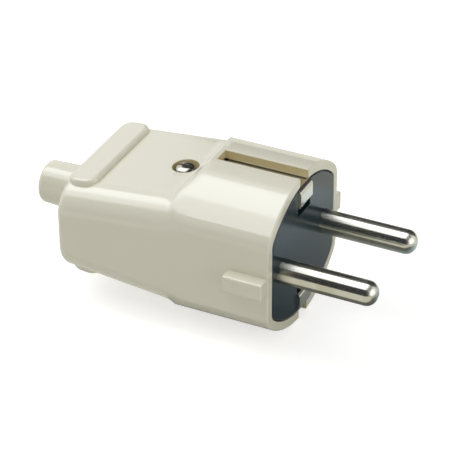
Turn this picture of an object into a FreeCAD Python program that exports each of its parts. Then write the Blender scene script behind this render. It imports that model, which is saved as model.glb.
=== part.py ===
import FreeCAD, Part
import os
import re
from math import atan2, pi, sqrt

import Sketcher
from FreeCAD import Placement, Rotation, Vector

# A rewireable earthed mains plug with two round pins.
# The origin is the middle of the engagement face. +X runs along the pins, away from the body,
# Y runs from pin to pin and +Z is up. A depth is a distance back from the engagement face.

# Driving dimensions in millimetres, one cell of the sheet each.
SIZES = {
    # Pins
    "pin_spacing": 19.0,
    "pin_diameter": 4.8,
    "pin_reach": 19.0,
    "pin_tip_round": 2.0,
    "pin_neck_diameter": 4.4,
    "pin_fit": 0.05,
    "pin_shoulder_depth": 3.0,
    "terminal_diameter": 6.2,
    "terminal_edge": 0.4,
    "wire_hole": 3.2,
    "wire_hole_length": 8.0,
    # Housing, front part
    "face_width": 31.6,
    "face_height": 31.4,
    "crown_radius": 21.5,
    "corner_radius": 4.25,
    "wall": 1.8,
    "rim_round": 0.35,
    "crown_land": 0.15,
    "brow_wall": 0.3,
    "slope_run": 3.8,
    "slot_length": 17.0,
    "slot_width": 3.55,
    "rib_length": 8.0,
    "rib_height": 3.5,
    "rib_proud": 2.5,
    "rib_setback": 0.2,
    "rib_round": 0.4,
    # Housing, grip and cable nozzle
    "grip_height": 22.8,
    "grip_rear_height": 18.2,
    "grip_corner": 5.95,
    "side_relief": 0.05,
    "grip_length": 22.8,
    "crease_round": 1.2,
    "rear_round": 1.75,
    "rear_wall": 2.0,
    "bar_width": 6.0,
    "bar_length": 24.4,
    "bar_setback": 3.6,
    "bar_proud": 1.0,
    "bar_corner": 2.4,
    "bar_round": 0.75,
    "nozzle_length": 10.8,
    "nozzle_base_diameter": 9.5,
    "nozzle_end_diameter": 8.4,
    "nozzle_round": 1.0,
    "cable_bore": 6.6,
    # Contact carrier
    "plate_gap": 0.2,
    "plate_thickness": 5.0,
    "plate_edge": 0.25,
    "block_depth": 14.6,
    "block_height": 12.6,
    "block_gap": 0.6,
    "ridge_width": 9.2,
    "arm_thickness": 3.5,
    "arm_gap": 0.25,
    "arm_overhang": 4.0,
    "tail_width": 20.0,
    "tail_thickness": 2.8,
    "tail_gap": 0.8,
    "tail_end_gap": 3.9,
    "retainer_thickness": 2.0,
    "retainer_height": 8.0,
    "retainer_gap": 0.4,
    "retainer_corner": 1.5,
    # Earth bracket
    "strip_thickness": 0.6,
    "strip_width": 5.2,
    "strip_gap": 0.35,
    "strip_side_gap": 0.15,
    "strip_bend": 0.75,
    "strip_front_bend": 1.2,
    "bridge_gap": 0.3,
    "flap_length": 3.5,
    "tuck_length": 3.6,
    "slit_height": 2.4,
    "slit_end_gap": 0.4,
    # Fasteners
    "thread_gap": 0.05,
    "hole_gap": 0.2,
    "head_recess": 0.5,
    "slot_depth": 0.7,
    "slot_gauge": 0.6,
    "terminal_screw_diameter": 3.0,
    "terminal_head_diameter": 4.0,
    "terminal_head_height": 1.8,
    "terminal_head_lift": 0.3,
    "terminal_screw_depth": 10.0,
    "leaf_thickness": 0.4,
    "leaf_width": 2.0,
    "leaf_length": 6.0,
    "leaf_height": 0.55,
    "earth_screw_diameter": 3.2,
    "earth_screw_length": 7.6,
    "earth_head_diameter": 5.2,
    "earth_head_height": 2.0,
    "washer_side": 7.0,
    "washer_thickness": 1.0,
    "nut_side": 5.6,
    "nut_thickness": 2.0,
    "nut_gap": 0.1,
    "clamp_screw_diameter": 3.0,
    "clamp_head_diameter": 4.8,
    "clamp_head_height": 1.8,
    "clamp_spacing": 13.2,
    "clamp_seat": 1.6,
    "clamp_bar_thickness": 2.2,
    "clamp_bar_width": 5.0,
    "clamp_setback": 4.5,
    "clamp_tooth": 0.6,
    "clamp_round": 0.8,
    "post_width": 4.8,
    "cover_screw_depth": 24.5,
    "cover_screw_diameter": 3.0,
    "cover_head_diameter": 4.6,
    "cover_head_height": 1.7,
    "cover_head_round": 1.6,
    "counterbore_diameter": 5.2,
    "counterbore_depth": 1.5,
    "boss_diameter": 7.6,
    "boss_gap": 0.1,
}

SHEET = "Sizes"

# Places worked out from the driving dimensions, as expressions for the sheet's cells.
TERMINAL_END = "block_depth"
BRIDGE_FRONT = "(block_depth + retainer_thickness)"
BRIDGE_REAR = f"({BRIDGE_FRONT} + strip_thickness)"
CHAMBER_DEPTH = f"({BRIDGE_REAR} + bridge_gap)"
BROW_DEPTH = f"({CHAMBER_DEPTH} + brow_wall)"
CREASE_DEPTH = f"({BROW_DEPTH} + slope_run)"
BODY_DEPTH = f"({CREASE_DEPTH} + grip_length)"
STRIP_TOP = "(face_height / 2 - wall - strip_gap)"
STRIP_SEAT = f"({STRIP_TOP} - strip_thickness)"
SLIT_TOP = f"({STRIP_TOP} - flap_length)"
SLIT_BOTTOM = f"({SLIT_TOP} - slit_height)"
STRIP_CHANNEL = "(strip_width / 2 + strip_side_gap)"
PLATE_INSET = "(wall + plate_gap)"
BLOCK_HALF_WIDTH = "(face_width / 2 - wall - block_gap)"
GRIP_TAPER = "((grip_height - grip_rear_height) / 2 / grip_length)"
TAIL_END = f"({BODY_DEPTH} - rear_wall - tail_end_gap)"
CLAMP_DEPTH = f"({TAIL_END} - clamp_setback)"
ARM_END = "(cover_screw_depth + arm_overhang)"
BAR_DEPTH = f"({BODY_DEPTH} - bar_setback)"
LEAF_TOP = "(leaf_height + leaf_thickness)"


def grip_top(depth):
    """Expression for the height of the grip's sloping top at a depth."""
    return f"(grip_height / 2 - (({depth}) - {CREASE_DEPTH}) * {GRIP_TAPER})"


ARM_TOP = f"({grip_top(ARM_END)} - wall - arm_gap)"
ARM_BOTTOM = f"({ARM_TOP} - arm_thickness)"
TAIL_BOTTOM = f"({grip_top(TAIL_END)} - wall - tail_gap)"
TAIL_TOP = f"({TAIL_BOTTOM} - tail_thickness)"
COVER_SEAT = f"({grip_top('cover_screw_depth')} - counterbore_depth)"

doc = FreeCAD.newDocument("plug")


def make_sheet():
    """Fill the sheet with the driving dimensions, one alias for each."""
    sheet = doc.addObject("Spreadsheet::Sheet", SHEET)
    for row, (alias, value) in enumerate(SIZES.items(), start=1):
        sheet.set(f"A{row}", alias)
        sheet.set(f"B{row}", str(value))
        sheet.setAlias(f"B{row}", alias)
    doc.recompute()
    return sheet


sheet = make_sheet()


def cells(expression):
    """Write an expression's size names as cells of the sheet."""
    return re.sub(r"[a-z][a-z_]+", lambda found: f"{SHEET}.{found.group()}", str(expression))


def value(expression):
    """Number that an expression of sizes gives at present."""
    return float(sheet.evalExpression(cells(expression)))


def bind(feature, **expressions):
    """Tie properties of a feature to the sheet. A double underscore in a name stands for a dot."""
    for name, expression in expressions.items():
        feature.setExpression(name.replace("__", "."), cells(expression))


def new_body(label):
    """Empty body for one sub-part."""
    body = doc.addObject("PartDesign::Body", label)
    body.Label = label
    return body


def place(body, x="0", y="0", z="0", rotation=None):
    """Set a body's place from expressions, after turning it."""
    if rotation is not None:
        body.Placement = Placement(Vector(), rotation)
    bind(body, Placement__Base__x=x, Placement__Base__y=y, Placement__Base__z=z)


def origin_plane(body, role):
    """One of a body's own origin planes."""
    return next(plane for plane in body.Origin.OriginFeatures if plane.Role == role)


def new_sketch(body, name, role, offset="0"):
    """Sketch on an origin plane of its body, moved along the plane's normal by an expression."""
    sketch = body.newObject("Sketcher::SketchObject", name)
    sketch.AttachmentSupport = [(origin_plane(body, role), "")]
    sketch.MapMode = "FlatFace"
    bind(sketch, AttachmentOffset__Base__z=offset)
    return sketch


def dimension(sketch, kind, expression, *elements):
    """Add a driving constraint whose value is an expression of sizes."""
    index = sketch.addConstraint(Sketcher.Constraint(kind, *elements, value(expression)))
    sketch.setExpression(f"Constraints[{index}]", cells(expression))


def add_polygon(sketch, corners):
    """Closed run of straight lines through corners that are given as pairs of expressions."""
    points = [Vector(value(across), value(up), 0) for across, up in corners]
    first = sketch.GeometryCount
    count = len(points)
    for index, start in enumerate(points):
        sketch.addGeometry(Part.LineSegment(start, points[(index + 1) % count]), False)
    for index in range(count):
        following = first + (index + 1) % count
        sketch.addConstraint(Sketcher.Constraint("Coincident", first + index, 2, following, 1))
    for index, (across, up) in enumerate(corners):
        dimension(sketch, "DistanceX", across, -1, 1, first + index, 1)
        dimension(sketch, "DistanceY", up, -1, 1, first + index, 1)


def mirrored(corners):
    """The same corners, reflected from above the middle plane to below it."""
    return [(across, f"-({up})") for across, up in corners]


def add_arc(sketch, centre, radius, start, end):
    """Arc of a circle from a start to an end angle, anticlockwise."""
    circle = Part.Circle(Vector(centre[0], centre[1], 0), Vector(0, 0, 1), radius)
    return sketch.addGeometry(Part.ArcOfCircle(circle, start, end), False)


def crown_sketch(body, name, inset):
    """Front outline: crowned top and bottom, straight sides and round corners, moved in by an inset."""
    half_width = f"(face_width / 2 - {inset})"
    crown = f"(crown_radius - {inset})"
    corner = f"(corner_radius - {inset})"
    crown_centre = "(face_height / 2 - crown_radius)"
    w, big, small, middle = (value(size) for size in (half_width, crown, corner, crown_centre))
    across = w - small
    side = middle + sqrt((big - small) ** 2 - across ** 2)
    turn = atan2(side - middle, across)

    sketch = new_sketch(body, name, "YZ_Plane")
    right = sketch.addGeometry(Part.LineSegment(Vector(w, -side, 0), Vector(w, side, 0)), False)
    upper_right = add_arc(sketch, (across, side), small, 0, turn)
    top = add_arc(sketch, (0, middle), big, turn, pi - turn)
    upper_left = add_arc(sketch, (-across, side), small, pi - turn, pi)
    left = sketch.addGeometry(Part.LineSegment(Vector(-w, side, 0), Vector(-w, -side, 0)), False)
    lower_left = add_arc(sketch, (-across, -side), small, pi, pi + turn)
    bottom = add_arc(sketch, (0, -middle), big, pi + turn, 2 * pi - turn)
    lower_right = add_arc(sketch, (across, -side), small, 2 * pi - turn, 2 * pi)

    ring = [right, upper_right, top, upper_left, left, lower_left, bottom, lower_right]
    for index, element in enumerate(ring):
        following = ring[(index + 1) % len(ring)]
        sketch.addConstraint(Sketcher.Constraint("Tangent", element, 2, following, 1))
    for line in (right, left):
        sketch.addConstraint(Sketcher.Constraint("Vertical", line))
    dimension(sketch, "DistanceX", half_width, -1, 1, right, 1)
    dimension(sketch, "DistanceX", f"-{half_width}", -1, 1, left, 1)
    for arc in (upper_right, upper_left, lower_left, lower_right):
        dimension(sketch, "Radius", corner, arc)
    for arc, height in ((top, crown_centre), (bottom, f"-{crown_centre}")):
        dimension(sketch, "Radius", crown, arc)
        dimension(sketch, "DistanceX", "0", -1, 1, arc, 3)
        dimension(sketch, "DistanceY", height, -1, 1, arc, 3)
    return sketch


def pad(body, sketch, length, symmetric=False):
    """Pad a sketch: backwards from the YZ plane, or evenly to both sides of its plane."""
    feature = body.newObject("PartDesign::Pad", f"{sketch.Name}_pad")
    feature.Profile = sketch
    feature.SideType = "Symmetric" if symmetric else "One side"
    feature.Reversed = not symmetric
    bind(feature, Length=length)
    return feature


def pocket(body, sketch, length, symmetric=False):
    """Cut a sketch out of its body: backwards from the YZ plane, or evenly to both sides of its plane."""
    feature = body.newObject("PartDesign::Pocket", f"{sketch.Name}_pocket")
    feature.Profile = sketch
    feature.SideType = "Symmetric" if symmetric else "One side"
    bind(feature, Length=length)
    return feature


def box(body, name, x, y, z, cut=False):
    """Block between pairs of expressions for its lower and upper bound along each axis."""
    feature = body.newObject(f"PartDesign::{'Subtractive' if cut else 'Additive'}Box", name)
    (x0, x1), (y0, y1), (z0, z1) = x, y, z
    bind(feature, Length=f"({x1}) - ({x0})", Width=f"({y1}) - ({y0})", Height=f"({z1}) - ({z0})")
    bind(feature, Placement__Base__x=x0, Placement__Base__y=y0, Placement__Base__z=z0)
    return feature


def both_ways(size):
    """Bounds at equal distances below and above zero."""
    return f"-({size})", f"{size}"


def depths(rear, front="0"):
    """Bounds along X from one depth behind the engagement face to another."""
    return f"-({rear})", f"-({front})"


ALONG_X = Rotation(Vector(0, 1, 0), 90)
BACKWARDS = Rotation(Vector(0, 1, 0), -90)
UPWARDS = Rotation()


def rod(body, name, diameter, length, base=("0", "0", "0"), rotation=UPWARDS, cut=False):
    """Round bar or hole that starts at a base point and runs along a turned Z axis."""
    feature = body.newObject(f"PartDesign::{'Subtractive' if cut else 'Additive'}Cylinder", name)
    feature.Placement = Placement(Vector(), rotation)
    x, y, z = base
    bind(feature, Radius=f"({diameter}) / 2", Height=length)
    bind(feature, Placement__Base__x=x, Placement__Base__y=y, Placement__Base__z=z)
    return feature


def dress(body, kind, name, size, wanted):
    """Fillet or chamfer the edges of the body's last feature that a test picks out.

    The test is given the edge's middle point.
    """
    doc.recompute()
    base = body.Tip
    names = []
    for index, edge in enumerate(base.Shape.Edges, start=1):
        middle = edge.valueAt((edge.FirstParameter + edge.LastParameter) / 2)
        if wanted(middle):
            names.append(f"Edge{index}")
    if not names:
        raise RuntimeError(f"{body.Label}: no edge found for {name}")
    feature = body.newObject(f"PartDesign::{kind}", name)
    feature.Base = (base, names)
    feature.setExpression("Radius" if kind == "Fillet" else "Size", cells(size))
    return feature


def combine(body, name, kind, other):
    """Join another body to this one, cut it out or keep what both share."""
    feature = body.newObject("PartDesign::Boolean", name)
    feature.Type = kind
    feature.setObjects([other])
    return feature


def near(first, second, slack=0.02):
    """Whether two lengths are the same, within drawing accuracy."""
    return abs(first - second) < slack


def make_grip_blank():
    """Side view of the housing with rounded long edges, which trims the crowned bar to the grip."""
    body = new_body("grip_blank")
    half_width = value("face_width / 2 + side_relief")
    rear = -value(BODY_DEPTH)
    crease = -value(CREASE_DEPTH)
    grip_half = value("grip_height / 2")
    overlap = "2 * wall"
    crest = f"(face_height / 2 + {overlap})"
    crest_depth = f"({BROW_DEPTH} - {overlap} * slope_run / (face_height - grip_height) * 2)"

    upper = [
        ("wall", crest),
        (f"-{crest_depth}", crest),
        (f"-{CREASE_DEPTH}", "grip_height / 2"),
        (f"-{BODY_DEPTH}", "grip_rear_height / 2"),
    ]
    profile = new_sketch(body, "side_view", "XZ_Plane")
    add_polygon(profile, upper + mirrored(upper[::-1]))
    pad(body, profile, "face_width + 2 * side_relief", symmetric=True)
    dress(body, "Fillet", "crease", "crease_round", lambda middle: (
        near(middle.y, 0) and near(middle.x, crease)))
    top = value(crest)
    dress(body, "Fillet", "grip_corners", "grip_corner", lambda middle: (
        near(abs(middle.y), half_width) and rear + 1 < middle.x < value(f"-{crest_depth}") - 0.5
        and abs(middle.z) < top - 0.5))
    dress(body, "Fillet", "rear_edges", "rear_round", lambda middle: near(middle.x, rear))
    return body


def make_grip_core():
    """Hollow of the grip, one wall thickness inside it, with rounded long edges."""
    body = new_body("grip_core")
    rear_depth = f"({BODY_DEPTH} - rear_wall)"
    front_depth = f"({CHAMBER_DEPTH} - wall)"
    upper = [
        (f"-{front_depth}", f"{grip_top(front_depth)} - wall"),
        (f"-{rear_depth}", f"{grip_top(rear_depth)} - wall"),
    ]
    profile = new_sketch(body, "hollow_side_view", "XZ_Plane")
    add_polygon(profile, upper + mirrored(upper[::-1]))
    pad(body, profile, "face_width - 2 * wall", symmetric=True)
    inner = value("face_width / 2 - wall")
    rear = -value(rear_depth)
    front = -value(front_depth)
    dress(body, "Fillet", "hollow_corners", "grip_corner - wall", lambda middle: (
        near(abs(middle.y), inner) and rear + 1 < middle.x < front - 1))
    return body


def make_grip_bars():
    """Bar that stands proud of the grip's sloping top and bottom, with rounded corners and edges."""
    body = new_body("grip_bar_blank")
    front_depth = f"({BAR_DEPTH} - bar_width / 2)"
    rear_depth = f"({BAR_DEPTH} + bar_width / 2)"
    upper = [
        (f"-{front_depth}", f"{grip_top(front_depth)} + bar_proud"),
        (f"-{rear_depth}", f"{grip_top(rear_depth)} + bar_proud"),
    ]
    profile = new_sketch(body, "bar_side_view", "XZ_Plane")
    add_polygon(profile, upper + mirrored(upper[::-1]))
    pad(body, profile, "bar_length", symmetric=True)
    end = value("bar_length / 2")
    dress(body, "Fillet", "bar_corners", "bar_corner", lambda middle: (
        near(middle.z, 0) and near(abs(middle.y), end)))
    dress(body, "Fillet", "bar_edges", "bar_round", lambda middle: not near(middle.z, 0))
    return body


def make_housing():
    """Cream sleeve: crowned front, tapering grip with its bars, guide ribs, earth slots and cable nozzle."""
    blank = make_grip_blank()
    core = make_grip_core()
    bars = make_grip_bars()
    body = new_body("housing")
    rear = -value(BODY_DEPTH)

    pad(body, crown_sketch(body, "front_outline", "0"), BODY_DEPTH)
    dress(body, "Fillet", "front_rim", "rim_round", lambda middle: near(middle.x, 0))
    combine(body, "grip_trim", "Common", blank)
    combine(body, "grip_bars", "Fuse", bars)
    land = ("face_height / 2 - crown_land", "face_height / 2 + wall")
    for name, bounds in (("upper", land), ("lower", tuple(f"-({end})" for end in reversed(land)))):
        box(body, f"{name}_crown_land", (f"-{CREASE_DEPTH}", "wall"), both_ways("face_width / 2"),
            bounds, cut=True)

    rib_reach = "(face_width / 2 + rib_proud)"
    box(body, "guide_ribs", depths("rib_setback + rib_length", "rib_setback"), both_ways(rib_reach),
        both_ways("rib_height / 2"))
    reach = value(rib_reach)
    dress(body, "Fillet", "rib_edges", "rib_round", lambda middle: near(abs(middle.y), reach))

    nozzle = body.newObject("PartDesign::AdditiveCone", "nozzle")
    nozzle.Placement = Placement(Vector(), BACKWARDS)
    bind(nozzle, Radius1="nozzle_base_diameter / 2", Radius2="nozzle_end_diameter / 2",
         Height="nozzle_length + rear_wall", Placement__Base__x=f"-{BODY_DEPTH} + rear_wall")
    nozzle_end = rear - value("nozzle_length")
    dress(body, "Fillet", "nozzle_edge", "nozzle_round", lambda middle: near(middle.x, nozzle_end))

    pocket(body, crown_sketch(body, "chamber", "wall"), CHAMBER_DEPTH)
    combine(body, "grip_hollow", "Cut", core)

    rod(body, "cable_hole", "cable_bore", "nozzle_length + 2 * rear_wall",
        (f"-{BODY_DEPTH} - nozzle_length", "0", "0"), ALONG_X, cut=True)
    box(body, "earth_slots", ("-slot_length", "wall"), both_ways("slot_width / 2"),
        both_ways("face_height"), cut=True)
    screw_line = ("-cover_screw_depth", "0")
    rod(body, "screw_boss", "boss_diameter", f"{COVER_SEAT} - {ARM_TOP} - boss_gap",
        (*screw_line, f"{ARM_TOP} + boss_gap"))
    rod(body, "screw_hole", "cover_screw_diameter + 2 * hole_gap", "face_height / 2",
        (*screw_line, f"{COVER_SEAT} - face_height / 4"), cut=True)
    rod(body, "counterbore", "counterbore_diameter", "face_height / 2", (*screw_line, COVER_SEAT), cut=True)
    return body


def make_carrier():
    """Dark moulding: front plate, terminal block, ridges under the earth strip, screw arm and cord tail."""
    body = new_body("contact_carrier")
    inside = "block_depth - plate_thickness"

    pad(body, crown_sketch(body, "plate_outline", PLATE_INSET), "plate_thickness")
    dress(body, "Chamfer", "plate_rim", "plate_edge", lambda middle: near(middle.x, 0))
    box(body, "terminal_block", depths("block_depth", "plate_thickness / 2"), both_ways(BLOCK_HALF_WIDTH),
        both_ways("block_height / 2"))
    ridge_foot = "(block_height / 2 - retainer_gap)"
    for name, bounds in (("upper_ridge", (ridge_foot, STRIP_SEAT)),
                         ("lower_ridge", (f"-{STRIP_SEAT}", f"-{ridge_foot}"))):
        box(body, name, depths(BRIDGE_FRONT, "plate_thickness / 2"), both_ways("ridge_width / 2"), bounds)
    box(body, "screw_arm", depths(ARM_END, "block_depth"), both_ways("ridge_width / 2"),
        (ARM_BOTTOM, ARM_TOP))
    box(body, "cord_tail", depths(TAIL_END, f"block_depth - ({inside}) / 2"), both_ways("tail_width / 2"),
        (f"-{TAIL_BOTTOM}", f"-{TAIL_TOP}"))
    for name, side in (("left_post", "1"), ("right_post", "-1")):
        centre = f"{side} * clamp_spacing / 2"
        box(body, name,
            depths(f"{CLAMP_DEPTH} + clamp_bar_width / 2", f"{CLAMP_DEPTH} - clamp_bar_width / 2"),
            (f"{centre} - post_width / 2", f"{centre} + post_width / 2"),
            (f"-{TAIL_TOP} - retainer_gap", "clamp_seat"))

    for name, side in (("left", "1"), ("right", "-1")):
        axis = f"{side} * pin_spacing / 2"
        rod(body, f"{name}_pin_hole", "pin_diameter + 2 * pin_fit", "2 * plate_thickness",
            ("-plate_thickness", axis, "0"), ALONG_X, cut=True)
        rod(body, f"{name}_terminal_hole", "terminal_diameter + 2 * pin_fit",
            "block_depth - pin_shoulder_depth", ("-block_depth", axis, "0"), ALONG_X, cut=True)
        rod(body, f"{name}_screwdriver_hole", "terminal_head_diameter + 2 * hole_gap", "block_height",
            ("-terminal_screw_depth", axis, "0"), cut=True)
        post = f"{side} * clamp_spacing / 2"
        rod(body, f"{name}_clamp_hole", "clamp_screw_diameter + 2 * hole_gap", "face_height",
            (f"-{CLAMP_DEPTH}", post, "-face_height / 2"), cut=True)
        pocket_half = "(nut_side / 2 + nut_gap)"
        box(body, f"{name}_clamp_nut_pocket",
            (f"-{CLAMP_DEPTH} - {pocket_half}", f"-{CLAMP_DEPTH} + {pocket_half}"),
            (f"{post} - {pocket_half}", f"{post} + {pocket_half}"),
            (f"-{TAIL_BOTTOM} - nut_gap", f"-{TAIL_BOTTOM} + nut_thickness"), cut=True)

    for name, side in (("upper", "1"), ("lower", "-1")):
        channel = (STRIP_SEAT, "face_height / 2")
        slit = (SLIT_BOTTOM, SLIT_TOP)
        bounds = [pair if side == "1" else tuple(f"-({end})" for end in reversed(pair))
                  for pair in (channel, slit)]
        box(body, f"{name}_strip_channel", ("-plate_thickness", "plate_thickness"), both_ways(STRIP_CHANNEL),
            bounds[0], cut=True)
        box(body, f"{name}_slit", ("-(tuck_length + slit_end_gap)", "plate_thickness"),
            both_ways(STRIP_CHANNEL), bounds[1], cut=True)
    box(body, "bridge_gap", depths(f"{BRIDGE_REAR} + bridge_gap", BRIDGE_FRONT), both_ways(STRIP_CHANNEL),
        both_ways("face_height / 2"), cut=True)

    nut_half = "(nut_side / 2 + nut_gap)"
    box(body, "earth_nut_pocket", depths("block_depth", "block_depth - nut_thickness"), both_ways(nut_half),
        both_ways(nut_half), cut=True)
    stack = "(washer_thickness + strip_thickness + retainer_thickness)"
    rod(body, "earth_screw_hole", "earth_screw_diameter + 2 * hole_gap",
        f"earth_screw_length - {stack} + hole_gap", ("-block_depth", "0", "0"), ALONG_X, cut=True)
    screw_line = ("-cover_screw_depth", "0")
    rod(body, "cover_screw_hole", "cover_screw_diameter + 2 * hole_gap", "2 * arm_thickness",
        (*screw_line, ARM_BOTTOM), cut=True)
    box(body, "cover_nut_pocket", (f"-cover_screw_depth - {nut_half}", f"-cover_screw_depth + {nut_half}"),
        both_ways(nut_half), (f"{ARM_BOTTOM} - nut_gap", f"{ARM_BOTTOM} + nut_thickness"), cut=True)
    return body


def make_pin(label, side):
    """Turned pin: round tip, a neck in the plate and a thicker end that takes the wire and its screw."""
    body = new_body(label)
    rod(body, "shank", "pin_diameter", "pin_reach", rotation=ALONG_X)
    rod(body, "neck", "pin_neck_diameter", "pin_shoulder_depth", ("-pin_shoulder_depth", "0", "0"), ALONG_X)
    rod(body, "terminal", "terminal_diameter", "block_depth - pin_shoulder_depth",
        (f"-{TERMINAL_END}", "0", "0"), ALONG_X)
    tip = value("pin_reach")
    end = -value(TERMINAL_END)
    dress(body, "Fillet", "tip", "pin_tip_round", lambda middle: near(middle.x, tip))
    dress(body, "Chamfer", "terminal_rim", "terminal_edge", lambda middle: near(middle.x, end))
    rod(body, "wire_hole", "wire_hole", "wire_hole_length", (f"-{TERMINAL_END}", "0", "0"), ALONG_X, cut=True)
    rod(body, "screw_hole", "terminal_screw_diameter + 2 * thread_gap", "terminal_diameter",
        ("-terminal_screw_depth", "0", "0"), cut=True)
    place(body, y=f"{side} * pin_spacing / 2")
    return body


def make_screw(label, diameter, length, head_diameter, head_height, head_round="slot_depth / 4"):
    """Slotted screw that stands on its point along Z, with the head's underside at zero."""
    body = new_body(label)
    rod(body, "shank", diameter, length, ("0", "0", f"-({length})"))
    rod(body, "head", head_diameter, head_height)
    top = value(head_height)
    dress(body, "Fillet", "head_edge", head_round, lambda middle: near(middle.z, top))
    box(body, "driver_slot", both_ways(head_diameter), both_ways("slot_gauge / 2"),
        (f"{head_height} - slot_depth", f"2 * ({head_height})"), cut=True)
    return body


def make_nut(label, diameter):
    """Square nut that lies on the XY plane."""
    body = new_body(label)
    box(body, "square", both_ways("nut_side / 2"), both_ways("nut_side / 2"), ("0", "nut_thickness"))
    rod(body, "thread", f"{diameter} + 2 * thread_gap", "nut_thickness", cut=True)
    return body


def make_terminal_screw(label, side):
    """Screw that presses the wire in a pin's terminal."""
    head_seat = "(terminal_diameter / 2 + terminal_head_lift)"
    body = make_screw(label, "terminal_screw_diameter", f"{head_seat} - {LEAF_TOP} - thread_gap",
                      "terminal_head_diameter", "terminal_head_height")
    place(body, "-terminal_screw_depth", f"{side} * pin_spacing / 2", head_seat)
    return body


def make_leaf(label, side):
    """Thin leaf between a terminal screw and the wire."""
    body = new_body(label)
    box(body, "leaf", both_ways("leaf_length / 2"), both_ways("leaf_width / 2"), ("0", "leaf_thickness"))
    place(body, "-terminal_screw_depth", f"{side} * pin_spacing / 2", "leaf_height")
    return body


def make_retainer():
    """Insulating plate across the terminal block that keeps both pins from being pushed back."""
    body = new_body("pin_retaining_plate")
    foot = f"-({TAIL_TOP} - retainer_gap)"
    box(body, "plate", depths(BRIDGE_FRONT, "block_depth"), both_ways(BLOCK_HALF_WIDTH),
        (foot, "retainer_height / 2"))
    flank = value(BLOCK_HALF_WIDTH)
    levels = value(foot), value("retainer_height / 2")
    dress(body, "Fillet", "corners", "retainer_corner", lambda middle: (
        near(abs(middle.y), flank) and any(near(middle.z, level) for level in levels)))
    for name, side in (("left", "1"), ("right", "-1")):
        rod(body, f"{name}_wire_entry", "wire_hole + 2 * hole_gap", "2 * retainer_thickness",
            (f"-{BRIDGE_FRONT} - retainer_thickness / 2", f"{side} * pin_spacing / 2", "0"), ALONG_X,
            cut=True)
    rod(body, "screw_hole", "earth_screw_diameter + 2 * hole_gap", "2 * retainer_thickness",
        (f"-{BRIDGE_FRONT} - retainer_thickness / 2", "0", "0"), ALONG_X, cut=True)
    return body


def make_earth_bracket():
    """Bent strip: a tucked flap on the face, a strip under each slot and a bridge behind the block."""
    body = new_body("earth_bracket")
    outside = [
        ("-tuck_length", f"{SLIT_TOP} - strip_thickness"),
        ("strip_thickness", f"{SLIT_TOP} - strip_thickness"),
        ("strip_thickness", STRIP_TOP),
        (f"-{BRIDGE_REAR}", STRIP_TOP),
    ]
    inside = [
        (f"-{BRIDGE_FRONT}", STRIP_SEAT),
        ("0", STRIP_SEAT),
        ("0", SLIT_TOP),
        ("-tuck_length", SLIT_TOP),
    ]
    profile = new_sketch(body, "bent_strip", "XZ_Plane")
    add_polygon(profile, outside + mirrored(outside[::-1]) + mirrored(inside[::-1]) + inside)
    pad(body, profile, "strip_width", symmetric=True)
    tuck, front, rear = [(value(x), value(z)) for x, z in outside[1:]]
    for name, size, corners in (("front_bends", "strip_front_bend", [front]),
                                ("bends", "strip_bend", [tuck, rear])):
        dress(body, "Fillet", name, size, lambda middle: (
            near(middle.y, 0) and any(near(middle.x, x) and near(abs(middle.z), z) for x, z in corners)))
    rod(body, "screw_hole", "earth_screw_diameter + 2 * hole_gap", "4 * strip_thickness",
        (f"-{BRIDGE_REAR} - strip_thickness", "0", "0"), ALONG_X, cut=True)
    return body


def make_earth_terminal():
    """Screw, square clamp washer and nut that hold the earth wire and the bracket's bridge."""
    screw = make_screw("earth_terminal_screw", "earth_screw_diameter", "earth_screw_length",
                       "earth_head_diameter", "earth_head_height")
    place(screw, f"-({BRIDGE_REAR} + washer_thickness)", rotation=BACKWARDS)
    washer = new_body("earth_clamp_washer")
    box(washer, "square", both_ways("washer_side / 2"), both_ways("washer_side / 2"),
        ("0", "washer_thickness"))
    rod(washer, "hole", "earth_screw_diameter + 2 * hole_gap", "washer_thickness", cut=True)
    place(washer, f"-{BRIDGE_REAR}", rotation=BACKWARDS)
    nut = make_nut("earth_terminal_nut", "earth_screw_diameter")
    place(nut, "-block_depth + nut_thickness", rotation=BACKWARDS)
    return [screw, washer, nut]


def make_cord_clamp():
    """Toothed bar on two posts of the tail, with its screws and captive nuts."""
    bar = new_body("cord_clamp_bar")
    half_length = "(clamp_spacing / 2 + post_width / 2)"
    box(bar, "bar", both_ways("clamp_bar_width / 2"), both_ways(half_length), ("0", "clamp_bar_thickness"))
    end = value(half_length)
    flank = value("clamp_bar_width / 2")
    dress(bar, "Fillet", "corners", "clamp_round", lambda middle: (
        near(abs(middle.y), end) and near(abs(middle.x), flank)))
    box(bar, "tooth", both_ways("clamp_tooth"), both_ways("clamp_spacing / 2 - post_width / 2 - hole_gap"),
        ("-clamp_tooth", "clamp_bar_thickness / 2"))
    for name, side in (("left", "1"), ("right", "-1")):
        rod(bar, f"{name}_hole", "clamp_screw_diameter + 2 * hole_gap", "2 * clamp_bar_thickness",
            ("0", f"{side} * clamp_spacing / 2", "-clamp_bar_thickness / 2"), cut=True)
    place(bar, f"-{CLAMP_DEPTH}", z="clamp_seat")
    pieces = [bar]
    seat = "clamp_seat + clamp_bar_thickness"
    for name, side in (("left", "1"), ("right", "-1")):
        screw = make_screw(f"{name}_cord_clamp_screw", "clamp_screw_diameter", f"{seat} + {TAIL_BOTTOM}",
                           "clamp_head_diameter", "clamp_head_height")
        place(screw, f"-{CLAMP_DEPTH}", f"{side} * clamp_spacing / 2", seat)
        nut = make_nut(f"{name}_cord_clamp_nut", "clamp_screw_diameter")
        place(nut, f"-{CLAMP_DEPTH}", f"{side} * clamp_spacing / 2", f"-{TAIL_BOTTOM}")
        pieces += [screw, nut]
    return pieces


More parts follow.
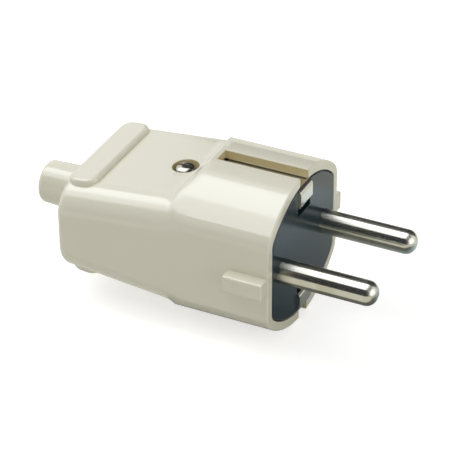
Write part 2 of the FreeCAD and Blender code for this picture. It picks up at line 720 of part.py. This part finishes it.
def make_cover_screw():
    """Domed screw through the top of the grip, and its nut in the carrier's arm."""
    screw = make_screw("housing_screw", "cover_screw_diameter", f"{COVER_SEAT} - {ARM_BOTTOM}",
                       "cover_head_diameter", "cover_head_height", "cover_head_round")
    place(screw, "-cover_screw_depth", z=COVER_SEAT)
    nut = make_nut("housing_screw_nut", "cover_screw_diameter")
    place(nut, "-cover_screw_depth", z=ARM_BOTTOM)
    return [screw, nut]


def make_all():
    """Every sub-part of the plug, in its place."""
    bodies = [make_housing(), make_carrier(), make_retainer(), make_earth_bracket()]
    for name, side in (("left", "1"), ("right", "-1")):
        bodies.append(make_pin(f"{name}_pin", side))
        bodies.append(make_terminal_screw(f"{name}_terminal_screw", side))
        bodies.append(make_leaf(f"{name}_wire_leaf", side))
    return bodies + make_earth_terminal() + make_cord_clamp() + make_cover_screw()


def check(bodies):
    """Stop if any feature failed or any sub-part isn't one sound solid."""
    failed = [item.Name for item in doc.Objects if {"Invalid", "Error"} & set(item.State)]
    if failed:
        raise RuntimeError(f"features failed: {failed}")
    for body in bodies:
        shape = body.Shape
        if shape.isNull() or not shape.isValid() or len(shape.Solids) != 1:
            raise RuntimeError(f"{body.Label} is not one sound solid")


bodies = make_all()
doc.recompute()
check(bodies)
os.makedirs("parts", exist_ok=True)
for body in bodies:
    body.Shape.exportStep(f"parts/{body.Label}.step")
    print(f"{body.Label}: {body.Shape.Volume:.1f} mm3")
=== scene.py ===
"""Studio scene of a rewireable earthed mains plug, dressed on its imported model."""

import logging
import math
from dataclasses import dataclass, field
from enum import Enum, IntEnum
from typing import Any, Optional, Union

import bpy
from mathutils import Matrix, Vector


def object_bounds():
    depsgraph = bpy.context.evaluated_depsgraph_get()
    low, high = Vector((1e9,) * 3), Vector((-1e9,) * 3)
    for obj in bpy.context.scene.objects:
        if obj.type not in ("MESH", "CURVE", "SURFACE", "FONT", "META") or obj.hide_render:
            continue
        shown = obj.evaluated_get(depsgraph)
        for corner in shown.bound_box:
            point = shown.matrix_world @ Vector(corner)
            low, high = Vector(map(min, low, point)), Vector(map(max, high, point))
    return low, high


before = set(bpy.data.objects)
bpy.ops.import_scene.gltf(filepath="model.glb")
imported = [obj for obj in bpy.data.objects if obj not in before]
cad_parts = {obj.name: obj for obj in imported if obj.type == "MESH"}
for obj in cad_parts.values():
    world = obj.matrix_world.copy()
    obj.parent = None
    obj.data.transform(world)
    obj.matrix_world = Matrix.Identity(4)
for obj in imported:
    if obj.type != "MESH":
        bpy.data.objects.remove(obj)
CAD_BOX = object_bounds()

MM = 0.001
LOWEST_Z = CAD_BOX[0][2]
WHITE = (1.0, 1.0, 1.0, 1.0)
# Which bound, low or high, each corner of a sheet takes along its two directions.
CORNERS = ((0, 0), (1, 0), (1, 1), (0, 1))
log = logging.getLogger("plug")

Colour = tuple[float, float, float]
Tone = Union[Colour, tuple[Colour, Colour]]
Point = tuple[float, float, float]
Bounds = tuple[float, float]
Socket = bpy.types.NodeSocket


class Axis(Enum):
    """Axis that a metal piece was turned about."""

    X = "X"
    Y = "Y"
    Z = "Z"


class MixPort(IntEnum):
    """Indices of the sockets that a mix node uses for colours."""

    SHARE = 0
    FIRST = 6
    SECOND = 7
    RESULT = 2


class NodeTree:
    """Short way to add and join nodes in one node tree."""

    def __init__(self, tree: bpy.types.NodeTree) -> None:
        """Keep the tree.

        Args:
            tree: Shader node tree to build in.
        """
        self.tree = tree

    def fill(self, node: bpy.types.Node, inputs: dict[Any, Any]) -> None:
        """Fill the inputs of a node.

        Args:
            node: Node to fill.
            inputs: Value or output socket for each input, by name or index.
        """
        for key, value in inputs.items():
            if isinstance(value, Socket):
                self.tree.links.new(value, node.inputs[key])
            else:
                node.inputs[key].default_value = value

    def add(self, kind: str, inputs: Optional[dict[Any, Any]] = None, **settings: Any) -> bpy.types.Node:
        """Add a node, set its properties and fill its inputs.

        Args:
            kind: Blender's identifier of the node type.
            inputs: Value or output socket for each input, by name or index.
            **settings: Properties of the node itself.

        Returns:
            The new node.
        """
        node = self.tree.nodes.new(kind)
        for name, value in settings.items():
            setattr(node, name, value)
        self.fill(node, inputs or {})
        return node

    def place(self) -> Socket:
        """Add the object coordinates.

        Returns:
            The coordinates' socket.
        """
        return self.add("ShaderNodeTexCoord").outputs["Object"]

    def math(self, operation: str, first: Any, second: Any = 0.0) -> Socket:
        """Add a maths node.

        Args:
            operation: Blender's name of the operation.
            first: First value or socket.
            second: Second value or socket.

        Returns:
            The result's socket.
        """
        return self.add("ShaderNodeMath", {0: first, 1: second}, operation=operation).outputs[0]

    def spread(self, mask: Socket, low: float, high: float) -> Socket:
        """Map a mask from 0 and 1 to a low and a high value.

        Args:
            mask: Mask to map.
            low: Result where the mask is 0.
            high: Result where the mask is 1.

        Returns:
            The mapped value's socket.
        """
        return self.add("ShaderNodeMapRange", {"Value": mask, "To Min": low, "To Max": high}).outputs[0]

    def between(self, value: Socket, low: float, high: float) -> Socket:
        """Make a mask that rises between two values.

        Args:
            value: Value to test.
            low: Value where the mask is still 0.
            high: Value from which the mask is 1.

        Returns:
            The mask's socket.
        """
        return self.add("ShaderNodeMapRange", {"Value": value, "From Min": low, "From Max": high}).outputs[0]

    def blend(self, mask: Any, first: Any, second: Any) -> Socket:
        """Mix two colours by a mask.

        Args:
            mask: Share of the second colour.
            first: Colour or colour socket where the mask is 0.
            second: Colour or colour socket where the mask is 1.

        Returns:
            The mixed colour's socket.
        """
        inputs = {MixPort.SHARE: mask, MixPort.FIRST: first, MixPort.SECOND: second}
        opaque = {port: (*value, 1.0) if isinstance(value, tuple) else value
                  for port, value in inputs.items()}
        return self.add("ShaderNodeMix", opaque, data_type="RGBA").outputs[MixPort.RESULT]


def new_material(name: str) -> tuple[bpy.types.Material, NodeTree, bpy.types.Node]:
    """Start a material.

    Args:
        name: Name of the material.

    Returns:
        The material, a builder for its tree and its shader.
    """
    material = bpy.data.materials.new(name)
    material.use_nodes = True
    return material, NodeTree(material.node_tree), material.node_tree.nodes["Principled BSDF"]


class EffectGroups:
    """Shader node groups that several finishes share."""

    def __init__(self) -> None:
        """Build each group once."""
        self.moulded = self._moulded_skin()
        self.drawn = self._tool_marks()

    @staticmethod
    def _new_group(name: str, inputs: dict[str, float],
                   outputs: tuple[str, ...]) -> tuple[NodeTree, bpy.types.Node, bpy.types.Node]:
        """Start a group with its sockets.

        Args:
            name: Name of the group.
            inputs: Default value of each input.
            outputs: Names of the outputs.

        Returns:
            A builder for the group, its input node and its output node.
        """
        group = bpy.data.node_groups.new(name, "ShaderNodeTree")
        group.interface.new_socket("Vector", in_out="INPUT", socket_type="NodeSocketVector")
        for label, value in inputs.items():
            socket = group.interface.new_socket(label, in_out="INPUT", socket_type="NodeSocketFloat")
            socket.default_value = value
        for label in outputs:
            group.interface.new_socket(label, in_out="OUTPUT", socket_type="NodeSocketFloat")
        nodes = NodeTree(group)
        return nodes, nodes.add("NodeGroupInput"), nodes.add("NodeGroupOutput")

    def _moulded_skin(self) -> bpy.types.NodeTree:
        """Skin of moulded plastic: slow flow clouds, a fine peel and sparse scuffs.

        Returns:
            The group, with the outputs Cloud, Peel and Scuff.
        """
        nodes, entry, leave = self._new_group(
            "moulded_skin", {"Cloud Scale": 60.0, "Peel Scale": 1400.0, "Scuff Scale": 900.0},
            ("Cloud", "Peel", "Scuff"))
        cloud = nodes.add("ShaderNodeTexNoise", {
            "Vector": entry.outputs["Vector"], "Scale": entry.outputs["Cloud Scale"],
            "Detail": 3.0, "Roughness": 0.55, "Distortion": 0.6})
        peel = nodes.add("ShaderNodeTexNoise", {
            "Vector": entry.outputs["Vector"], "Scale": entry.outputs["Peel Scale"], "Detail": 2.0})
        streak = nodes.add("ShaderNodeMapping", {
            "Vector": entry.outputs["Vector"], "Scale": (0.35, 1.0, 2.2)})
        scuff = nodes.add("ShaderNodeTexNoise", {
            "Vector": streak.outputs[0], "Scale": entry.outputs["Scuff Scale"],
            "Detail": 4.0, "Roughness": 0.7})
        sparse = nodes.between(scuff.outputs[0], low=0.62, high=0.78)
        nodes.fill(leave, {"Cloud": cloud.outputs[0], "Peel": peel.outputs[0], "Scuff": sparse})
        return nodes.tree

    def _tool_marks(self) -> bpy.types.NodeTree:
        """Marks of turning or drawing: fine lines across the stretched axis, and patches of handling.

        Returns:
            The group, with the outputs Lines and Patch.
        """
        nodes, entry, leave = self._new_group(
            "tool_marks", {"Line Scale": 900.0, "Patch Scale": 160.0}, ("Lines", "Patch"))
        lines = nodes.add("ShaderNodeTexNoise", {
            "Vector": entry.outputs["Vector"], "Scale": entry.outputs["Line Scale"],
            "Detail": 2.0, "Roughness": 0.6})
        patch = nodes.add("ShaderNodeTexNoise", {
            "Vector": entry.outputs["Vector"], "Scale": entry.outputs["Patch Scale"], "Detail": 3.0})
        nodes.fill(leave, {"Lines": lines.outputs[0], "Patch": patch.outputs[0]})
        return nodes.tree


@dataclass(frozen=True)
class PaintedHollowShade:
    """Painted shade: a deeper, warmer colour on the walls of the earth slots and of the screw's well, where
    shade falls.

    Attributes:
        slot_reach: How far the slots run back from the face.
        slot_half_width: Half of the width that is shaded as slot.
        crown: Height above the middle plane that bounds the slots' walls.
        well_setback: Distance of the well's axis behind the face.
        well_radius: Radius that is shaded as well.
        colour: Colour of the painted shade on the walls.
    """

    slot_reach: float
    slot_half_width: float
    crown: float
    well_setback: float
    well_radius: float
    colour: Colour

    def mask(self, nodes: NodeTree, place: Socket) -> Socket:
        """Make a mask of the walls that take the painted shade.

        Args:
            nodes: Builder of the material's tree.
            place: Object coordinates.

        Returns:
            Socket that is 1 on the walls and 0 elsewhere.
        """
        split = nodes.add("ShaderNodeSeparateXYZ", {0: place})
        across = nodes.math("LESS_THAN", nodes.math("ABSOLUTE", split.outputs["Y"]), self.slot_half_width)
        along = nodes.math("GREATER_THAN", split.outputs["X"], -self.slot_reach)
        below = nodes.math("LESS_THAN", nodes.math("ABSOLUTE", split.outputs["Z"]), self.crown)
        slot = nodes.math("MULTIPLY", nodes.math("MULTIPLY", across, along), below)
        flat = nodes.add("ShaderNodeCombineXYZ", {"X": split.outputs["X"], "Y": split.outputs["Y"]})
        away = nodes.add("ShaderNodeVectorMath", {0: flat.outputs[0], 1: (-self.well_setback, 0.0, 0.0)},
                         operation="DISTANCE")
        well = nodes.math("LESS_THAN", away.outputs["Value"], self.well_radius)
        return nodes.math("MAXIMUM", slot, well)


@dataclass(frozen=True)
class SoftBrow:
    """Wide soft bend where the grip rises to the front of the sleeve.

    Attributes:
        rear: Distance of its rear end behind the face.
        front: Distance of its front end behind the face.
        clear: Half of the width in the middle that it leaves to the screw and the slot.
        radius: Radius of the bend.
    """

    rear: float
    front: float
    clear: float
    radius: float

    def mask(self, nodes: NodeTree, place: Socket) -> Socket:
        """Make a mask of the bend.

        Args:
            nodes: Builder of the material's tree.
            place: Object coordinates.

        Returns:
            Socket that is 1 in the bend, away from the screw and the slot, and 0 elsewhere.
        """
        split = nodes.add("ShaderNodeSeparateXYZ", {0: place})
        ahead = nodes.math("GREATER_THAN", split.outputs["X"], -self.rear)
        behind = nodes.math("LESS_THAN", split.outputs["X"], -self.front)
        aside = nodes.math("GREATER_THAN", nodes.math("ABSOLUTE", split.outputs["Y"]), self.clear)
        return nodes.math("MULTIPLY", nodes.math("MULTIPLY", ahead, behind), aside)


@dataclass(frozen=True)
class MouldedPlastic:
    """Finish of a moulded plastic piece.

    Attributes:
        name: Name of the material.
        colour: Colour between the flow clouds.
        shade: Colour in the flow clouds.
        scuff_colour: Colour of the scuffs.
        roughness: Lowest and highest roughness.
        peel_height: Height of the fine peel.
        edge_round: Radius of the softened edges.
        gloss: Strength of the gloss.
        hollows: Painted shade on the walls of the slots and the well.
        brow: Bend that is softer than the edges.
        scuff_share: How much of the scuffs' colour shows.
        scuff_roughness: Roughness that the scuffs add.
        peel_strength: Strength of the peel.
        edge_samples: Samples for the softened edges.
    """

    name: str
    colour: Colour
    shade: Colour
    scuff_colour: Colour
    roughness: Bounds
    peel_height: float
    edge_round: float
    gloss: float = 0.5
    hollows: Optional[PaintedHollowShade] = None
    brow: Optional[SoftBrow] = None
    scuff_share: float = 0.2
    scuff_roughness: float = 0.05
    peel_strength: float = 0.35
    edge_samples: int = 8

    def build(self, groups: EffectGroups) -> bpy.types.Material:
        """Make the material.

        Args:
            groups: Shared effect groups.

        Returns:
            The new material.
        """
        material, nodes, shader = new_material(self.name)
        place = nodes.place()
        skin = nodes.add("ShaderNodeGroup", {"Vector": place}, node_tree=groups.moulded)
        tone = nodes.blend(skin.outputs["Cloud"], self.colour, self.shade)
        faint = nodes.math("MULTIPLY", skin.outputs["Scuff"], self.scuff_share)
        colour = nodes.blend(faint, tone, self.scuff_colour)
        # Painted shade: the walls of the slots and the well take a deeper colour.
        if self.hollows is not None:
            colour = nodes.blend(self.hollows.mask(nodes, place), colour, self.hollows.colour)
        rough = nodes.spread(skin.outputs["Cloud"], *self.roughness)
        rough = nodes.math("ADD", rough, nodes.math("MULTIPLY", skin.outputs["Scuff"], self.scuff_roughness))
        radius: Any = self.edge_round
        if self.brow is not None:
            radius = nodes.spread(self.brow.mask(nodes, place), self.edge_round, self.brow.radius)
        edges = nodes.add("ShaderNodeBevel", {"Radius": radius}, samples=self.edge_samples)
        bump = nodes.add("ShaderNodeBump", {
            "Strength": self.peel_strength, "Distance": self.peel_height, "Height": skin.outputs["Peel"],
            "Normal": edges.outputs[0]})
        nodes.fill(shader, {"Base Color": colour, "Roughness": rough, "Normal": bump.outputs[0],
                            "Specular IOR Level": self.gloss})
        return material


@dataclass(frozen=True)
class ToolmarkedMetal:
    """Finish of a turned, drawn or rolled metal piece.

    Attributes:
        name: Name of the material.
        colour: Colour of the bare metal.
        tarnish: Colour of the dull patches.
        roughness: Lowest and highest roughness.
        stretch: Scale of the marks along each axis.
        mark_height: Height of the tool marks.
        edge_round: Radius of the softened edges.
        turned_about: Axis of a turned piece.
        grain: How much the turning stretches the gloss.
        grain_turn: Turn of the stretch, in whole turns.
        dull: Patch values where the tarnish starts and where it is full.
        mark_strength: Strength of the tool marks.
        edge_samples: Samples for the softened edges.
    """

    name: str
    colour: Colour
    tarnish: Colour
    roughness: Bounds
    stretch: Point
    mark_height: float
    edge_round: float
    turned_about: Optional[Axis] = None
    grain: float = 0.0
    grain_turn: float = 0.25
    dull: Bounds = (0.5, 0.8)
    mark_strength: float = 0.25
    edge_samples: int = 4

    def build(self, groups: EffectGroups) -> bpy.types.Material:
        """Make the material.

        Args:
            groups: Shared effect groups.

        Returns:
            The new material.
        """
        material, nodes, shader = new_material(self.name)
        if self.turned_about is not None:
            around = nodes.add("ShaderNodeTangent", direction_type="RADIAL", axis=self.turned_about.value)
            nodes.fill(shader, {"Anisotropic": self.grain, "Anisotropic Rotation": self.grain_turn,
                                "Tangent": around.outputs[0]})
        drawn = nodes.add("ShaderNodeMapping", {"Vector": nodes.place(), "Scale": self.stretch})
        marks = nodes.add("ShaderNodeGroup", {"Vector": drawn.outputs[0]}, node_tree=groups.drawn)
        tone = nodes.blend(nodes.between(marks.outputs["Patch"], *self.dull), self.colour, self.tarnish)
        rough = nodes.spread(marks.outputs["Patch"], *self.roughness)
        edges = nodes.add("ShaderNodeBevel", {"Radius": self.edge_round}, samples=self.edge_samples)
        bump = nodes.add("ShaderNodeBump", {
            "Strength": self.mark_strength, "Distance": self.mark_height, "Height": marks.outputs["Lines"],
            "Normal": edges.outputs[0]})
        nodes.fill(shader, {"Metallic": 1.0, "Base Color": tone, "Roughness": rough,
                            "Normal": bump.outputs[0]})
        return material


Finish = Union[MouldedPlastic, ToolmarkedMetal]
# Painted shade: the walls of the earth slots and of the screw's well take a deeper tan colour.
PAINTED_HOLLOW_SHADE = PaintedHollowShade(
    slot_reach=17.05 * MM, slot_half_width=1.80 * MM, crown=15.6 * MM, well_setback=24.5 * MM,
    well_radius=2.66 * MM, colour=(0.70, 0.60, 0.335))
BROW = SoftBrow(rear=25.5 * MM, front=17.2 * MM, clear=3.2 * MM, radius=2.4 * MM)
CREAM = MouldedPlastic(
    "cream_moulding", colour=(0.80, 0.77, 0.625), shade=(0.775, 0.745, 0.595),
    scuff_colour=(0.74, 0.70, 0.57), roughness=(0.11, 0.15), peel_height=0.010 * MM,
    edge_round=0.30 * MM, gloss=1.0, hollows=PAINTED_HOLLOW_SHADE, brow=BROW)
SLATE = MouldedPlastic(
    "slate_moulding", colour=(0.011, 0.031, 0.041), shade=(0.009, 0.026, 0.034),
    scuff_colour=(0.019, 0.039, 0.048), roughness=(0.16, 0.24), peel_height=0.008 * MM,
    edge_round=0.15 * MM)
BOARD = MouldedPlastic(
    "laminated_board", colour=(0.34, 0.17, 0.075), shade=(0.28, 0.13, 0.055),
    scuff_colour=(0.42, 0.24, 0.12), roughness=(0.50, 0.62), peel_height=0.03 * MM,
    edge_round=0.08 * MM)
NICKEL = ToolmarkedMetal(
    "turned_nickel", colour=(0.71, 0.70, 0.62), tarnish=(0.57, 0.545, 0.45), roughness=(0.20, 0.25),
    stretch=(1.0, 0.05, 0.05), mark_height=0.004 * MM, edge_round=0.05 * MM,
    turned_about=Axis.X, grain=0.97)
STRIP = ToolmarkedMetal(
    "rolled_strip", colour=(0.77, 0.74, 0.65), tarnish=(0.61, 0.57, 0.47), roughness=(0.14, 0.24),
    stretch=(0.06, 1.0, 0.2), mark_height=0.006 * MM, edge_round=0.1 * MM)
ZINC = ToolmarkedMetal(
    "zinc_plate", colour=(0.74, 0.75, 0.76), tarnish=(0.60, 0.60, 0.58), roughness=(0.14, 0.26),
    stretch=(1.0, 1.0, 0.2), mark_height=0.006 * MM, edge_round=0.1 * MM)
DOME = ToolmarkedMetal(
    "domed_head", colour=(0.50, 0.48, 0.42), tarnish=(0.36, 0.34, 0.28), roughness=(0.14, 0.24),
    stretch=(1.0, 1.0, 0.2), mark_height=0.006 * MM, edge_round=0.1 * MM)
BRASS = ToolmarkedMetal(
    "leaf_brass", colour=(0.80, 0.60, 0.27), tarnish=(0.62, 0.43, 0.19), roughness=(0.22, 0.36),
    stretch=(0.1, 1.0, 1.0), mark_height=0.006 * MM, edge_round=0.05 * MM)


@dataclass
class PlugBody:
    """The plug's carried-over pieces and the finish that each of them takes.

    Attributes:
        finishes: Finish of each piece that is not a plain fastener.
        fasteners: Finish of every other piece.
    """

    finishes: dict[str, Finish] = field(default_factory=lambda: {
        "housing": CREAM, "cord_clamp_bar": CREAM, "contact_carrier": SLATE,
        "left_pin": NICKEL, "right_pin": NICKEL, "earth_bracket": STRIP, "housing_screw": DOME,
        "left_wire_leaf": BRASS, "right_wire_leaf": BRASS, "pin_retaining_plate": BOARD})
    fasteners: Finish = ZINC

    def dress(self, groups: EffectGroups) -> None:
        """Give every carried-over piece its material.

        Args:
            groups: Shared effect groups.
        """
        made: dict[str, bpy.types.Material] = {}
        for name, piece in sorted(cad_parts.items()):
            finish = self.finishes.get(name, self.fasteners)
            if finish.name not in made:
                made[finish.name] = finish.build(groups)
            for slot in piece.material_slots:
                slot.material = made[finish.name]
            log.info("%s wears %s", name, finish.name)


@dataclass(frozen=True)
class Softbox:
    """Area lamp, in metres.

    Attributes:
        name: Name of the lamp.
        centre: Middle of its face.
        facing: Direction that it shines in.
        width: Its size at right angles to Y.
        height: Its size towards Y.
        glow: Radiance of its face.
        colour: Colour of its light.
    """

    name: str
    centre: Point
    facing: Point
    width: float
    height: float
    glow: float
    colour: Colour = (1.0, 1.0, 1.0)

    def hang(self) -> None:
        """Add the lamp to the scene."""
        data = bpy.data.lights.new(self.name, "AREA")
        data.shape = "RECTANGLE"
        data.size = self.width
        data.size_y = self.height
        data.energy = self.glow * math.pi * self.width * self.height
        data.color = self.colour
        lamp = bpy.data.objects.new(self.name, data)
        back = -Vector(self.facing).normalized()
        across = Vector((0, 1, 0)).cross(back).normalized()
        lamp.matrix_world = Matrix((across, back.cross(across), back)).transposed().to_4x4()
        lamp.matrix_world.translation = self.centre
        bpy.context.scene.collection.objects.link(lamp)


@dataclass(frozen=True)
class HungCard:
    """Card that hangs round the pins' axis and shows only in reflections: a painted dark reflection.

    Attributes:
        name: Name of the card.
        angles: Its edges, in degrees from +Y over the top.
        x: Its ends along X, in metres.
        tone: Its colour.
    """

    name: str
    angles: Bounds
    x: Bounds
    tone: Tone

    def corners(self, distance: float) -> list[Vector]:
        """Find the card's corners.

        Args:
            distance: Distance of its middle from the axis.

        Returns:
            The corners, in metres.
        """
        low, high = (math.radians(angle) for angle in self.angles)
        middle, reach = (low + high) / 2, distance * math.tan((high - low) / 2)
        outward = Vector((0, math.cos(middle), math.sin(middle)))
        along = Vector((0, -math.sin(middle), math.cos(middle)))
        sides = (-reach, reach)
        return [outward * distance + along * sides[side] + Vector((self.x[end], 0, 0))
                for end, side in CORNERS]


def level_corners(x: Bounds, y: Bounds, z: float) -> list[Vector]:
    """Find the corners of a level rectangle.

    Args:
        x: Its bounds along X.
        y: Its bounds along Y.
        z: Its height.

    Returns:
        The corners, counted round from the lowest X and Y.
    """
    return [Vector((x[end], y[side], z)) for end, side in CORNERS]


@dataclass(frozen=True)
class FloorCard:
    """Card, in millimetres, that lies just above the floor and shows only in reflections: a painted
    reflection.

    Attributes:
        name: Name of the card.
        x: Its bounds along X.
        y: Its bounds along Y.
        lift: Its height above the floor.
        tone: Its colour, or a pair of colours from its low Y to its high Y.
    """

    name: str
    x: Bounds
    y: Bounds
    lift: float
    tone: Tone

    def corners(self, floor_level: float) -> list[Vector]:
        """Find the card's corners.

        Args:
            floor_level: Height of the floor, in metres.

        Returns:
            The corners, in metres.
        """
        x, y = ((low * MM, high * MM) for low, high in (self.x, self.y))
        return level_corners(x, y, floor_level + self.lift * MM)


DOWN = (0.0, 0.0, -1.0)
COOL = (0.97, 1.0, 1.07)
# Tone of the dark cards that are painted into the reflections.
DARK_REFLECTION_TONE = (0.035, 0.038, 0.045)
LAMPS = (
    Softbox("bright_panel", centre=(-0.52, 0.05, 0.60), facing=DOWN, width=1.10, height=0.31, glow=2.6,
            colour=COOL),
    Softbox("dim_panel", centre=(-0.52, -0.26, 0.60), facing=DOWN, width=1.10, height=0.31, glow=1.0,
            colour=COOL),
    Softbox("front_fill", centre=(0.90, -0.10, 0.25), facing=(-0.90, 0.10, -0.25), width=0.90, height=0.90,
            glow=1.05))
# Dark cards seen only in reflections: painted dark bands in the pins and in the gloss of the plastics.
HUNG_CARDS = (
    HungCard("far_card", angles=(-12.0, 64.0), x=(-0.42, 0.60), tone=(0.05, 0.052, 0.058)),
    HungCard("near_card", angles=(121.0, 180.0), x=(-1.50, 1.00), tone=DARK_REFLECTION_TONE),
    HungCard("front_card", angles=(64.0, 121.0), x=(0.14, 1.00), tone=DARK_REFLECTION_TONE))
FLOOR_CARDS = (
    # Painted reflection of a table in shade.
    FloorCard("table_card", x=(-900.0, 900.0), y=(-900.0, 900.0), lift=0.005, tone=(0.72, 0.71, 0.62)),
    # Painted shadow of the plug on the floor, seen in reflections: dark next to the plug, pale further off.
    FloorCard("shade_card", x=(12.0, 60.0), y=(0.0, 44.0), lift=0.010,
              tone=((0.14, 0.18, 0.20), (0.84, 0.94, 0.98))),
    # Painted shade under the plug, seen in reflections: dark next to the plug, pale further off.
    FloorCard("under_shadow_card", x=(-25.0, 12.0), y=(0.0, 44.0), lift=0.010,
              tone=((0.16, 0.18, 0.18), (0.66, 0.68, 0.65))),
    # Painted contact shadow beside the plug, seen in reflections.
    FloorCard("contact_shadow_card", x=(-25.0, 60.0), y=(-20.0, 0.0), lift=0.010, tone=(0.14, 0.145, 0.13)))


@dataclass
class Studio:
    """Floor, soft light, cards for the gloss, and camera.

    Attributes:
        photo_size: Width of the photograph, in pixels.
        focal_pixels: Focal length of the camera, in the photograph's pixels.
        sensor: Width of the camera's sensor, in millimetres.
        eye: Place of the camera, in millimetres.
        target: Point that it looks at, in millimetres.
        lean_degrees: How far it leans about its viewing direction.
        near_clip: Nearest distance that it shows, in metres.
        ambient: Strength of the light from all round.
        floor_drop: Gap between the plug and the floor, in millimetres.
        floor_reach: Distance of the floor's edges from its middle, in metres.
        floor_glow: White that is added to the floor where it is seen directly.
        floor_clouds: Scale of the floor's clouds.
        floor_colours: The two colours of the floor's clouds.
        card_distance: Distance of the hung cards from the pins' axis, in metres.
        lamps: The lamps.
        hung_cards: The dark cards round the plug, seen only in reflections: painted dark reflections.
        floor_cards: The cards on the floor, seen only in reflections: a painted reflection of a table in
            shade and painted shadow of the plug.
    """

    photo_size: int = 452
    focal_pixels: float = 2257.5
    sensor: float = 36.0
    eye: Point = (142.95, -325.37, 231.04)
    target: Point = (-16.15, 0.0, -0.08)
    lean_degrees: float = 0.41
    near_clip: float = 0.01
    ambient: float = 0.41
    floor_drop: float = 0.03
    floor_reach: float = 3.0
    floor_glow: float = 0.62
    floor_clouds: float = 4.0
    floor_colours: tuple[Colour, Colour] = ((0.68, 0.67, 0.64), (0.70, 0.69, 0.66))
    card_distance: float = 0.75
    lamps: tuple[Softbox, ...] = LAMPS
    hung_cards: tuple[HungCard, ...] = HUNG_CARDS
    floor_cards: tuple[FloorCard, ...] = FLOOR_CARDS

    @property
    def floor_level(self) -> float:
        """Height of the floor, in metres."""
        return LOWEST_Z - self.floor_drop * MM

    def camera(self) -> None:
        """Set the camera at the photograph's viewing angle."""
        eye = Vector(self.eye) * MM
        back = (eye - Vector(self.target) * MM).normalized()
        level = Vector((0, 0, 1)).cross(back).normalized()
        upright = back.cross(level)
        lean = math.radians(self.lean_degrees)
        up = upright * math.cos(lean) + level * math.sin(lean)
        right = up.cross(back)
        data = bpy.data.cameras.new("camera")
        data.sensor_width = self.sensor
        data.sensor_fit = "HORIZONTAL"
        data.lens = self.focal_pixels * self.sensor / self.photo_size
        data.clip_start = self.near_clip
        camera = bpy.data.objects.new("camera", data)
        camera.matrix_world = Matrix((right, up, back)).transposed().to_4x4()
        camera.matrix_world.translation = eye
        bpy.context.scene.collection.objects.link(camera)
        bpy.context.scene.camera = camera

    def floor(self) -> None:
        """Lay a plain pale floor that keeps a soft shadow."""
        span = (-self.floor_reach, self.floor_reach)
        floor = self._sheet("floor", level_corners(span, span, self.floor_level))
        material, nodes, shader = new_material("pale_floor")
        cloud = nodes.add("ShaderNodeTexNoise", {"Vector": nodes.place(), "Scale": self.floor_clouds})
        tone = nodes.blend(cloud.outputs[0], *self.floor_colours)
        matt = nodes.add("ShaderNodeBsdfDiffuse", {"Color": tone})
        strength = nodes.math("MULTIPLY", self._seen_directly(nodes), self.floor_glow)
        glow = nodes.add("ShaderNodeEmission", {"Color": WHITE, "Strength": strength})
        both = nodes.add("ShaderNodeAddShader", {0: matt.outputs[0], 1: glow.outputs[0]})
        nodes.tree.nodes.remove(shader)
        nodes.fill(nodes.tree.nodes["Material Output"], {"Surface": both.outputs[0]})
        floor.data.materials.append(material)

    def world(self) -> None:
        """Light all round at a plain level, and show white behind the plug."""
        world = bpy.data.worlds.new("studio")
        world.use_nodes = True
        bpy.context.scene.world = world
        nodes = NodeTree(world.node_tree)
        strength = nodes.spread(self._seen_directly(nodes), self.ambient, 1.0)
        nodes.fill(nodes.tree.nodes["Background"], {"Color": WHITE, "Strength": strength})

    @staticmethod
    def _seen_directly(nodes: NodeTree) -> Socket:
        """Make a mask of what the camera sees, straight, in gloss or through glass.

        Args:
            nodes: Builder of the material's or the world's tree.

        Returns:
            Socket that is 1 for such rays and 0 for the others.
        """
        path = nodes.add("ShaderNodeLightPath")
        first = nodes.math("MAXIMUM", path.outputs["Is Camera Ray"], path.outputs["Is Glossy Ray"])
        return nodes.math("MAXIMUM", first, path.outputs["Is Transmission Ray"])

    @staticmethod
    def _sheet(name: str, corners: list[Vector]) -> bpy.types.Object:
        """Add a flat rectangle to the stage.

        Args:
            name: Name of the object.
            corners: Its corners, in metres.

        Returns:
            The new object.
        """
        mesh = bpy.data.meshes.new(name)
        mesh.from_pydata(corners, [], [tuple(range(len(corners)))])
        sheet = bpy.data.objects.new(name, mesh)
        bpy.context.scene.collection.objects.link(sheet)
        return sheet

    def gloss_card(self, name: str, corners: list[Vector], tone: Tone) -> None:
        """Add a card that only shows in gloss.

        Args:
            name: Name of the card and of its material.
            corners: Its corners, in metres.
            tone: Its colour, or a pair of colours from its low Y to its high Y.
        """
        card = self._sheet(name, corners)
        material, nodes, shader = new_material(name)
        colour: Any = (*tone, 1.0)
        if isinstance(tone[0], tuple):
            split = nodes.add("ShaderNodeSeparateXYZ", {0: nodes.place()})
            ends = [corner.y for corner in corners]
            colour = nodes.blend(nodes.between(split.outputs["Y"], min(ends), max(ends)), *tone)
        glow = nodes.add("ShaderNodeEmission", {"Color": colour, "Strength": 1.0})
        nodes.tree.nodes.remove(shader)
        nodes.fill(nodes.tree.nodes["Material Output"], {"Surface": glow.outputs[0]})
        card.data.materials.append(material)
        card.visible_camera = False
        card.visible_diffuse = False
        card.visible_shadow = False
        card.visible_transmission = False

    def build(self) -> None:
        """Set up the whole studio."""
        bpy.context.scene.view_settings.view_transform = "Standard"
        self.world()
        self.floor()
        for lamp in self.lamps:
            lamp.hang()
        for card in self.hung_cards:
            self.gloss_card(card.name, card.corners(self.card_distance), card.tone)
        for card in self.floor_cards:
            self.gloss_card(card.name, card.corners(self.floor_level), card.tone)
        self.camera()
        log.info("studio has %d lamps", len(self.lamps))


def main() -> None:
    """Build and dress every piece in order."""
    logging.basicConfig(level=logging.INFO, format="%(name)s: %(message)s")
    groups = EffectGroups()
    PlugBody().dress(groups)
    Studio().build()


if __name__ == "__main__":
    main()
